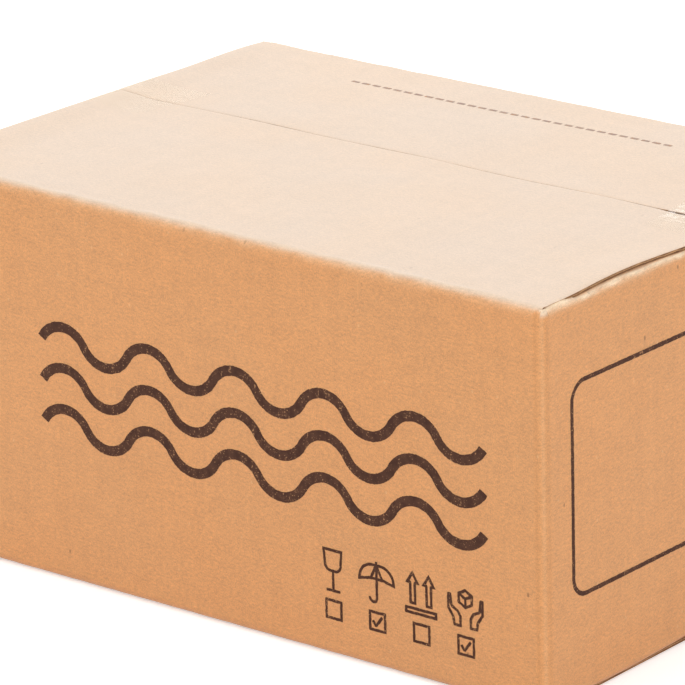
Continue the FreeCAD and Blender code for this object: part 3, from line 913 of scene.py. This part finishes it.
def wall_run(side, across, panel, z_from, z_to, count):
    """Points of a strip on an end wall, to its torn end."""
    y = SEAM + across
    along = panel.along[1] * y
    end = z_to + np.sign(z_from - z_to) * torn(across, 0.0)
    rows = []
    for t in np.linspace(0, 1, count + 1)[1:]:
        z = z_from + (end - z_from) * t
        x = LENGTH / 2 + panel.swell(along, z)
        rows.append(np.stack([side * x, y, z], -1))
    return rows


def top_strip(side, panel):
    def path(across):
        y = SEAM + across
        start = TOP_TAPE_START + torn(across, 4.0)
        rows = []
        for t in np.linspace(0, 1, 22):
            x = start + (FLAP_END - start) * t
            sag = 0.12 * bump(y - SEAM, 0, 0.8) * ramp(x, 78, 85)
            z = CROWN + top_lift(side * x, y) - 0.15 * bump(FLAP_END - x, 0, 0.5) - sag
            rows.append(np.stack([side * x, y, z], -1))
        rows += end_run(side, across, True)
        rows += wall_run(side, across, panel, SHOULDER - 0.6, TOP_TAPE_FOOT, 12)
        rows = np.array(rows)
        return rows if side > 0 else rows[:, ::-1]

    return path


def bottom_strip():
    def path(across):
        y = SEAM + across
        right = wall_run(1, across, RIGHT, FOOT + 0.6, BOTTOM_TAPE_HEAD, 16)[::-1]
        rows = right + end_run(1, across, False)[::-1]
        for x in np.linspace(FLAP_END, -FLAP_END, 60)[1:-1]:
            rows.append(np.stack([x + 0 * y, y, BASE + 0 * y], -1))
        rows += end_run(-1, across, False)
        rows += wall_run(-1, across, LEFT, FOOT + 0.6, BOTTOM_TAPE_HEAD, 16)
        return np.array(rows)

    return path


# The carton

liner = kraft()
edge = cut_edge()
carton = thicken(fold_board(), "carton_board", [liner, edge])
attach(carton, "root")
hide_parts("carton")

dark_ink = ink("brown_ink", rgb(66, 37, 25), rgb(98, 66, 50), 0.62, "upright")
worn_ink = ink("faded_ink", rgb(160, 134, 120), rgb(186, 162, 146), 0.55, "deep")


def on_front(x, z, lift):
    return FRONT.point(x, z, lift + 0 * x)


def on_right(y, z, lift):
    return RIGHT.point(y, z, lift + 0 * y)


def on_top(x, y, lift):
    z = CROWN + top_lift(x, y) + lift
    return settle(np.stack([x, y, z], -1))


prints = (
    ("front_waves", "front_print", 1, -1, on_front, dark_ink, "brown_ink", 70, 0.05),
    ("handling_figures", "handling_marks", 1, -1, on_front, dark_ink, "brown_ink", 90, 0.08),
    ("end_frame_line", "end_frame", 0, 1, on_right, dark_ink, "brown_ink", 130, 0.08),
    ("top_dashes", "top_print", 2, 1, on_top, worn_ink, "faded_ink", 150, 0.15),
)
for name, node, axis, outward, surface, material, slot, seed, spread in prints:
    piece = print_shape(name, node, axis, outward, surface, material, seed, spread)
    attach(piece, "root")
    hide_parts(node)

film = clear_tape()
strips = (
    ("tape_top_right", top_strip(1, RIGHT), 0.05, "top_tape_right"),
    ("tape_top_left", top_strip(-1, LEFT), 0.03, "top_tape_left"),
    ("tape_bottom", bottom_strip(), 0.008, "bottom_tape"),
)
for name, path, wrinkled, node in strips:
    piece = tape_mesh(name, path, wrinkled, film)
    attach(piece, "root")
    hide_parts(node)


# Floor, light and camera

floor = mesh_object(
    "floor",
    [(x, y, 0) for y in np.linspace(-4000, 4000, 9) for x in np.linspace(-4000, 4000, 9)],
    [[r * 9 + c, r * 9 + c + 1, r * 9 + c + 10, r * 9 + c + 9] for r in range(8) for c in range(8)],
    [floor_white()],
)


def lamp(name, place, aim, size, power, tint=(1, 1, 1)):
    data = bpy.data.lights.new(name, "AREA")
    data.shape = "RECTANGLE"
    data.size, data.size_y = size
    data.energy = power
    data.color = tint
    obj = bpy.data.objects.new(name, data)
    obj.location = place
    obj.rotation_euler = (Vector(aim) - Vector(place)).to_track_quat("-Z", "Y").to_euler()
    obj.visible_camera = False
    bpy.context.scene.collection.objects.link(obj)


lamp("overhead", (0.0, -0.1, 1.5), (0, 0, 0.05), (1.4, 1.4), 7.0)
lamp("key", (-0.5, -1.7, 0.9), (0, 0, 0.05), (1.3, 1.0), 9.3)
lamp("side", (1.8, -0.5, 0.9), (0, 0, 0.05), (1.1, 1.0), 12.8)
lamp("behind", (-0.95, 1.2, 0.85), (0, 0, 0.08), (2.0, 1.2), 16.2)

world = bpy.data.worlds.new("studio")
world.use_nodes = True
tree = world.node_tree
tree.nodes.clear()
sky = tree.nodes.new("ShaderNodeBackground")
light_path = tree.nodes.new("ShaderNodeLightPath")
seen = light_path.outputs["Is Camera Ray"]
for other in ("Is Glossy Ray", "Is Transmission Ray"):
    either = tree.nodes.new("ShaderNodeMath")
    either.operation = "MAXIMUM"
    tree.links.new(seen, either.inputs[0])
    tree.links.new(light_path.outputs[other], either.inputs[1])
    seen = either.outputs[0]
level = tree.nodes.new("ShaderNodeMapRange")
level.inputs["To Min"].default_value = 0.55
level.inputs["To Max"].default_value = 1.0
tree.links.new(seen, level.inputs["Value"])
tree.links.new(level.outputs[0], sky.inputs["Strength"])
out = tree.nodes.new("ShaderNodeOutputWorld")
tree.links.new(sky.outputs[0], out.inputs["Surface"])
bpy.context.scene.world = world

azimuth, elevation, roll = math.radians(39.063), math.radians(19.642), math.radians(-1.33)
back = Vector((
    math.sin(azimuth) * math.cos(elevation),
    -math.cos(azimuth) * math.cos(elevation),
    math.sin(elevation),
))
level_right = Vector((math.cos(azimuth), math.sin(azimuth), 0))
level_up = back.cross(level_right).normalized()
right = level_right * math.cos(roll) + level_up * math.sin(roll)
up = -level_right * math.sin(roll) + level_up * math.cos(roll)
data = bpy.data.cameras.new("camera")
data.sensor_width = 36.0
data.lens = 6717.0 / 685.0 * 36.0
data.clip_start, data.clip_end = 0.05, 50.0
camera = bpy.data.objects.new("camera", data)
place = Vector((0, 0, 0.05206)) + back * 1.71549 - right * 0.014369 + up * 0.002353
camera.matrix_world = Matrix((
    (right.x, up.x, back.x, place.x),
    (right.y, up.y, back.y, place.y),
    (right.z, up.z, back.z, place.z),
    (0, 0, 0, 1),
))
bpy.context.scene.collection.objects.link(camera)
bpy.context.scene.camera = camera
bpy.context.scene.view_settings.view_transform = "Standard"
